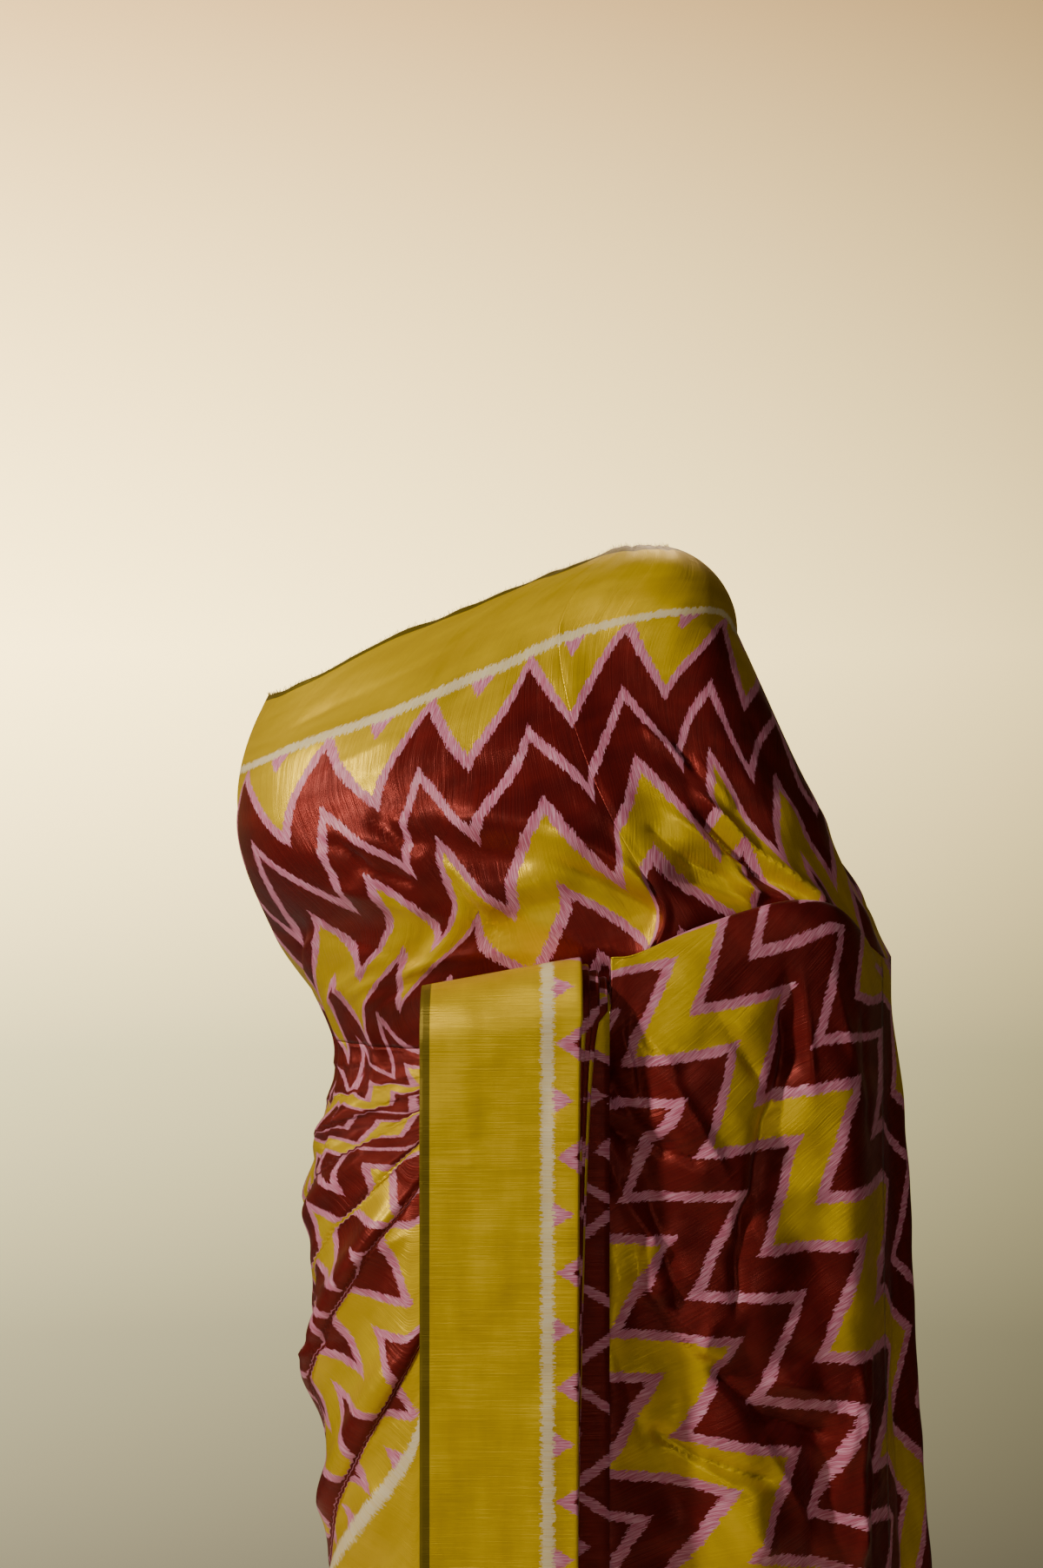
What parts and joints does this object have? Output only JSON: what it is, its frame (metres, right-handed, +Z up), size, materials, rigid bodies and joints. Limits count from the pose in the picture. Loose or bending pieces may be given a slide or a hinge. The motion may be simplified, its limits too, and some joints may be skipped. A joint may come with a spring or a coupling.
{
  "type": "silk saree",
  "caption": "Silk saree in its worn form: wound round the hips, pleated at the front, drawn over the chest, left shoulder and forearm, with ikat zigzag stripes.",
  "frame": {"origin": "middle of the waist, where the wearer holds the cloth, 1.080 m above the floor", "axes": "+Z up along the wearer, -Y to the front, +X to the wearer's left"},
  "size_m": [0.5231, 0.4535, 1.4469],
  "materials": {
    "ikat_silk": "lustrous handwoven silk, maroon and golden yellow with pink zigzag lines"
  },
  "bodies": {
    "root": {"skirt_under": "ikat_silk", "front_pleats": "ikat_silk", "hip_wrap": "ikat_silk", "chest_drape": "ikat_silk", "shoulder_drape": "ikat_silk", "front_fall": "ikat_silk", "border_fall": "ikat_silk", "back_fall": "ikat_silk"}
  },
  "joints": []
}
